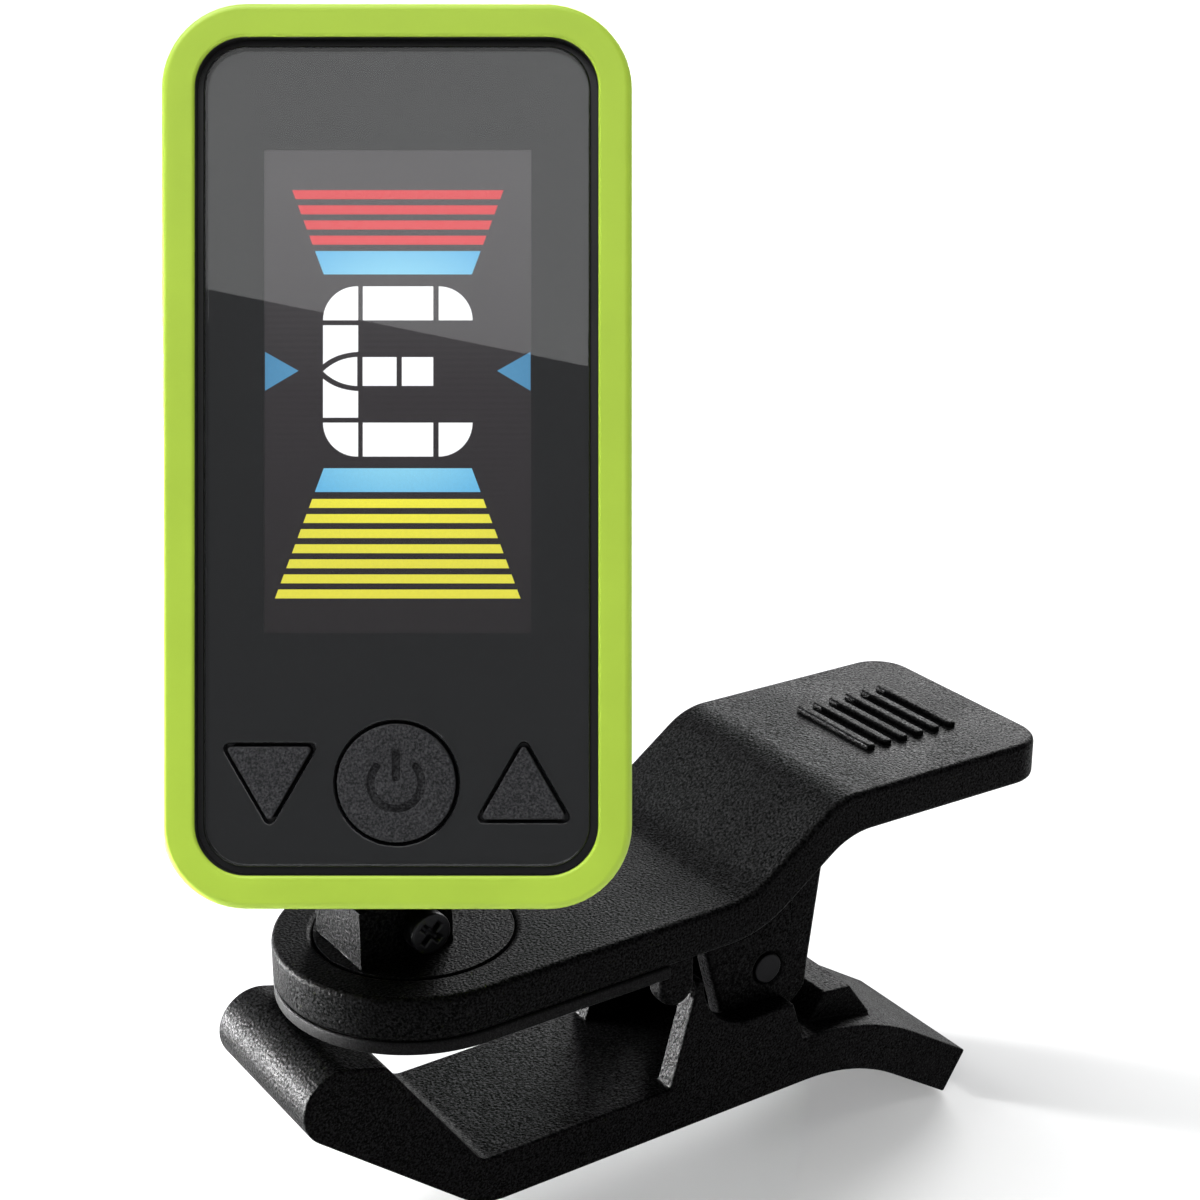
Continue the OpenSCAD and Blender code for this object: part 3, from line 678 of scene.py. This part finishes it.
DOOR_GAP, SCREW_HOLE_R, SHELL_EDGE = 0.1, 1.7, 0.32
shell_plate = plate_mesh(
    [rounded_rect(HEAD_W, HEAD_H, HEAD_CORNER), circle(0, door_z, door_r + DOOR_GAP)]
    + [circle(x, z, SCREW_HOLE_R, 32) for x, z in screw_centres()],
    rim_end, door_high.y, SHELL_EDGE)
LIP_W, LIP_H, LIP_CORNER, LIP_THICK = 27.2, 54.9, 4, 1.15
lip_near, lip_far = rim_end - 1.8, rim_end + 0.2
shell_lip = loft_mesh([[(x, d, z) for x, z in rounded_rect(LIP_W - 2 * i, LIP_H - 2 * i,
                                                           LIP_CORNER - i)]
                       for i, d in ((0, lip_near), (0, lip_far), (LIP_THICK, lip_far),
                                    (LIP_THICK, lip_near))], around=True)
neck_low, neck_high = local_box("neck_cap", NECK)
ear_low, ear_high = neck_low.z + 0.6, neck_high.z - 0.9
BARREL_W = 7.8
to_head = HEAD.inverted() @ NECK
neck_plates = []
for outline, start in (
        (rounded_rect(BARREL_W, neck_high.z - neck_low.z, 0.4, 0,
                      (neck_low.z + neck_high.z) / 2, 4), -5.0),
        (rounded_rect(neck_high.x - neck_low.x, ear_high - ear_low, 1.0, 0,
                      (ear_low + ear_high) / 2, 8), -4.8)):
    part = plate_mesh([outline], start, 0.0, 0.2)
    part.transform(to_head)
    neck_plates.append(part)
place_mesh("shell", joined([shell_plate, shell_lip] + neck_plates), ["shell_plastic"], "head",
           HEAD, ["rear_shell"])


CAP_TOP, SIGN_DEPTH = 0.75, 0.36  # thickness of a cap's top layer, and how deep the sign is


def button(name, outline, flange, node, body, sign=()):
    """A soft-edged cap over a flange, with the sign sunk into the cap."""
    layers = [plate_mesh([outline] + list(sign), cap_near, cap_near + CAP_TOP, 0.09),
              plate_mesh([outline], cap_near + SIGN_DEPTH, flange_far, 0.0),
              plate_mesh([flange], flange_near, flange_far, 0.06)]
    place_mesh(name, joined(layers), ["button_rubber"], body, HEAD, [node])


def broken_ring(x, z, r, half, gap):
    """A ring cut open at the top by gap degrees to each side, with round ends."""
    def end(angle, start):
        a = math.radians(angle)
        return arc(x + r * math.cos(a), z + r * math.sin(a), half, start, start + 180, 6)[1:-1]
    return (arc(x, z, r + half, 90 + gap, 450 - gap, 48) + end(90 - gap, 90 - gap)
            + arc(x, z, r - half, 450 - gap, 90 + gap, 48) + end(90 + gap, 270 + gap))


power_sign = [broken_ring(0, power_z, 1.63, 0.245, 50),
              rounded_rect(0.5, 2.05, 0.24, 0, power_z + 1.14, 5)]
button("power_cap", circle(0, power_z, power_r), circle(0, power_z, power_flange),
       "power_button", "power_key", power_sign)
for label, place, point_up in (("down", down_at, False), ("up", up_at, True)):
    button(f"{label}_cap", rounded_triangle(*place, arrow_r, arrow_corner, point_up),
           rounded_triangle(*place, FLANGE_R, 0.8, point_up),
           f"{label}_button", f"{label}_key")


# ---- display segments ----

# Name, colour in the middle of the display, colour at its ends, strength and half width.
for name, *values in (
        ("segment_red", (0.9, 0.075, 0.085), (0.8, 0.06, 0.07), 1.0),
        ("segment_blue", (0.27, 0.67, 0.88), (0.09, 0.42, 0.74), 1.1),
        ("segment_pointer", (0.1, 0.33, 0.56), (0.07, 0.25, 0.45), 1.0),
        ("segment_yellow", (1.0, 0.92, 0.05), (0.8, 0.74, 0.06), 1.1, 16),
        ("segment_white", (1, 1, 1), (0.97, 0.98, 1), 1.2)):
    materials[name] = glowing(name, *values)
SEGMENT_NEAR, SEGMENT_FAR = lcd_low.y - 0.05, lcd_low.y - 0.005
sign_z = display_z + 1.29        # height of the note letter's middle
waist, waist_half, flare = 6.21, 4.74, 0.375


def half_width(z):
    """Half the width of the bars' hourglass at height z."""
    return waist_half + flare * max(0.0, abs(z - sign_z) - waist)


def band(top, bottom):
    """A bar of the hourglass."""
    return [(-half_width(bottom), bottom), (half_width(bottom), bottom),
            (half_width(top), top), (-half_width(top), top)]


def segments(name, outlines, material):
    """Lit segments as one piece on the display."""
    meshes = [plate_mesh([o], SEGMENT_NEAR, SEGMENT_FAR) for o in outlines]
    place_mesh(name, joined(meshes), [material], "head", HEAD)


RED_STEP, YELLOW_STEP = 0.971, 0.966
segments("bars_sharp", [band(sign_z + 11.61 - RED_STEP * i, sign_z + 11.04 - RED_STEP * i)
                        for i in range(4)], "segment_red")
segments("bars_flat", [band(sign_z - 8.17 - YELLOW_STEP * i, sign_z - 8.74 - YELLOW_STEP * i)
                       for i in range(7)], "segment_yellow")
triangle = [(8.5, 1.25), (6.36, 0.04), (8.5, -1.23)]
segments("bars_centre", [band(sign_z + 7.71, sign_z + 6.22),
                         band(sign_z - 6.2, sign_z - 7.72)], "segment_blue")
segments("pointers", [[(s * x, sign_z + z) for x, z in triangle[::s]] for s in (1, -1)],
         "segment_pointer")


def letter_half():
    """The upper half of the note letter, from its middle height."""
    left, stem, right = -4.79, -2.54, 4.79
    top, bar = 5.45, 3.28
    return [
        arc(left + 2.17, bar, 2.17, 180, 90, 12) + [(stem, top), (stem, bar)],
        [(stem + 0.3, top), (stem + 0.3, bar), (2.27, bar), (2.27, top)],
        [(2.62, top)] + arc(right - 2.17, bar, 2.17, 90, 0, 12) + [(2.62, bar)],
        [(left, 2.96), (stem, 2.96), (stem, 1.26)]
        + curve_between((stem, 1.26), (-3.95, 1.18), (left, 0.46))[1:],
    ]


letter = []
for outline in letter_half():
    letter.append([(x, sign_z + z) for x, z in outline])
    letter.append([(x, sign_z - z) for x, z in outline[::-1]])
# The middle bar: a pointed end at the stem and two blocks.
ogive = (curve_between((-4.79, 0.0), (-3.9, 0.88), (-2.6, 0.93))
         + curve_between((-2.6, -0.93), (-3.9, -0.88), (-4.79, 0.0))[:-1])
letter.append([(x, sign_z + z) for x, z in ogive])
for left, right in ((-2.25, -0.08), (0.26, 2.27)):
    letter.append([(left, sign_z - 0.92), (right, sign_z - 0.92), (right, sign_z + 0.92),
                   (left, sign_z + 0.92)])
segments("note_letter", letter, "segment_white")


# ---- torsion spring ----

def spring():
    """A wire coil round the pin, with a straight foot under the arm and one on the jaw."""
    pin = Vector(joints["clip_open"]["pos_m"]) / MM
    wire = 0.35
    coil_r, turns = 2.0, 3
    start, end = math.radians(-35), math.radians(360 * turns + 40)
    width = 2 * wire * (turns + 0.2)
    steps = 40 * turns
    coil = [Vector((pin.x + coil_r * math.cos(start + (end - start) * t),
                    width * (t - 0.5), pin.z + coil_r * math.sin(start + (end - start) * t)))
            for t in (i / steps for i in range(steps + 1))]
    feet = (Vector((33, -width / 2, 5.7)), Vector((31.3, width / 2, -11.45)))
    path = [feet[0].lerp(coil[0], i / 8) for i in range(8)] + coil
    path += [coil[-1].lerp(feet[1], i / 8) for i in range(1, 9)]
    rings = []
    for i, point in enumerate(path):
        along = (path[min(i + 1, len(path) - 1)] - path[max(i - 1, 0)]).normalized()
        out = along.cross(Vector((0, 1, 0))).normalized()
        up = out.cross(along)
        rings.append([point + wire * (math.cos(a) * out + math.sin(a) * up)
                      for a in (math.tau * k / 12 for k in range(12))])
    mesh = loft_mesh(rings, caps=True)
    mesh.transform(ROW)
    mesh.materials.append(materials["spring_wire"])
    mesh.shade_smooth()
    piece = bpy.data.objects.new("spring_coil", mesh)
    bpy.context.scene.collection.objects.link(piece)
    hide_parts("torsion_spring")
    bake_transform(piece)


spring()


# ---- floor, light and camera, in metres ----

FLOOR_HALF, FLOOR_GAP = 4.0, 0.0001


def floor():
    """A plain pale floor under the object."""
    material, tree, shader = new_material("floor")
    tree.links.new(ramp(tree, noise(tree, 40.0, 3.0), [(0.3, 0.54), (0.7, 0.56)]),
                   shader.inputs["Base Color"])
    shader.inputs["Roughness"].default_value = 0.7
    shader.inputs["Specular IOR Level"].default_value = 0.2
    made = bmesh.new()
    bmesh.ops.create_grid(made, x_segments=8, y_segments=8, size=FLOOR_HALF)
    mesh = bpy.data.meshes.new("floor")
    made.to_mesh(mesh)
    made.free()
    mesh.materials.append(material)
    piece = bpy.data.objects.new("floor", mesh)
    piece.location.z = cad_box[0].z - FLOOR_GAP
    bpy.context.scene.collection.objects.link(piece)


def direction(azimuth, elevation):
    """From the object outwards. Azimuth 0 is -Y, where the camera of a front view stands."""
    a, e = math.radians(azimuth), math.radians(elevation)
    return Vector((math.sin(a) * math.cos(e), -math.cos(a) * math.cos(e), math.sin(e)))


def softbox(name, target, towards, distance, width, height, radiance, spread=180):
    """An area light whose face shines with the given radiance, within spread degrees."""
    light = bpy.data.lights.new(name, "AREA")
    light.shape = "RECTANGLE"
    light.size, light.size_y = width, height
    light.energy = radiance * math.pi * width * height
    light.spread = math.radians(spread)
    lamp = bpy.data.objects.new(name, light)
    lamp.location = target + towards * distance
    lamp.rotation_euler = (-towards).to_track_quat("-Z", "Y").to_euler()
    lamp.visible_camera = False
    bpy.context.scene.collection.objects.link(lamp)
    return lamp


floor()
middle = (cad_box[0] + cad_box[1]) / 2
# Target, direction, distance, width, height, radiance and spread.
softbox("overhead", middle, direction(-120, 75), 1.1, 1.2, 1.2, 1.8)
softbox("back", middle, direction(128, 20), 0.75, 0.45, 0.3, 16.0)
# A low narrow strip that lights the clip's left faces and stays under the head.
softbox("left_strip", Vector((0, 0, -0.012)), direction(-138, 2), 0.5, 0.5, 0.03, 26.0, 16)
# A bright patch of floor, behind and to the left.
softbox("floor_wash", Vector((-0.17, 0.15, cad_box[0].z)), Vector((0, 0, 1)),
        0.3, 0.2, 0.2, 40.0, 40)

# The panel that the lens mirrors: its lower edge crosses the lens at a slant. The ends of
# that edge are in millimetres in a plane PANEL_AWAY in front of the head.
PANEL_AWAY, PANEL_W, PANEL_H = 0.6, 0.5, 0.22
panel_matrix = axes_matrix(right_axis, depth_axis, up_axis,
                           HEAD @ Vector((12.46, -PANEL_AWAY / MM, -9.15)))
left_end = panel_matrix @ Vector((-120, 0, 98.3))
right_end = panel_matrix @ Vector((0, 0, 74))
slant = (right_end - left_end).normalized()
rise = slant.cross(depth_axis).normalized()
panel = softbox("panel", middle, -depth_axis, 1.0, PANEL_W, PANEL_H, 1.25)
panel.matrix_world = (Matrix.Translation(left_end.lerp(right_end, 0.5) + rise * PANEL_H / 2)
                      @ Matrix((slant, rise, -depth_axis)).transposed().to_4x4())

sun = bpy.data.lights.new("window", "SUN")
sun.energy = 2.3
sun.angle = math.radians(60)
sun_lamp = bpy.data.objects.new("window", sun)
sun_lamp.rotation_euler = (-direction(-140, 55)).to_track_quat("-Z", "Y").to_euler()
bpy.context.scene.collection.objects.link(sun_lamp)

world = bpy.data.worlds.new("studio")
world.use_nodes = True
background = world.node_tree.nodes["Background"]
background.inputs["Color"].default_value = (0.95, 0.97, 1.0, 1)
background.inputs["Strength"].default_value = 0.3
bpy.context.scene.world = world
bpy.context.scene.view_settings.view_transform = "Standard"

camera = bpy.data.objects.new("camera", bpy.data.cameras.new("camera"))
bpy.context.scene.collection.objects.link(camera)
AIM, CAMERA_AWAY = Vector((0.0117, -0.0058, 0.0280)), 0.157
look = -direction(-33.66, 21.47)
side = look.cross(Vector((0, 0, 1))).normalized()
camera.matrix_world = (Matrix.Translation(AIM - look * CAMERA_AWAY)
                       @ Matrix((side, side.cross(look), -look)).transposed().to_4x4())
camera.data.lens = 70.77
camera.data.sensor_width = 36
camera.data.clip_start = 0.01
bpy.context.scene.camera = camera

bpy.context.view_layer.update()
